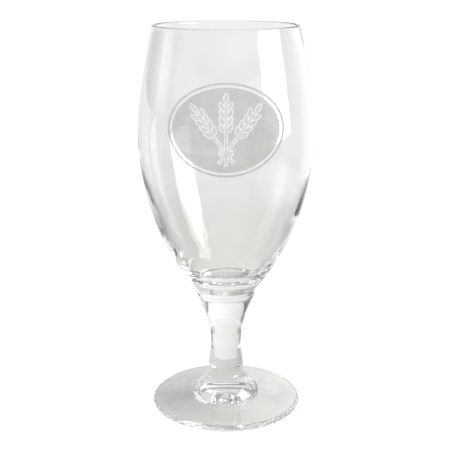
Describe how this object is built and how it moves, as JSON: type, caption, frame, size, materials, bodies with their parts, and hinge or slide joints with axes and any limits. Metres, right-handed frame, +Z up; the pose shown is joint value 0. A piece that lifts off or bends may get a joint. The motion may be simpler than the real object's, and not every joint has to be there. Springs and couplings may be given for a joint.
{
  "type": "stemmed pint glass",
  "caption": "Clear stemmed beer glass: tulip bowl narrowing to the lip, short waisted stem, round foot with a bell-shaped hub, and a frosted oval badge with a barley sheaf on the front.",
  "frame": {"origin": "centre of the foot's underside, on the table plane", "axes": "+Z up along the glass's axis, -Y towards the front, where the badge is, +X to the viewer's right when the badge is seen from the front"},
  "size_m": [0.0816, 0.0817, 0.184],
  "materials": {
    "bowl_glass": "clear fire-polished blown glass",
    "stem_glass": "clear polished drawn glass",
    "foot_glass": "clear pressed glass with a faint green edge",
    "border_enamel": "thin line of satin frosted enamel fired on glass",
    "field_enamel": "thin warm grey frosted enamel fired on glass",
    "sheaf_enamel": "thin pale frosted enamel fired on glass"
  },
  "bodies": {
    "root": {"bowl": "bowl_glass", "stem": "stem_glass", "foot": "foot_glass", "badge_border": "border_enamel", "badge_field": "field_enamel", "badge_sheaf": "sheaf_enamel"}
  },
  "joints": []
}
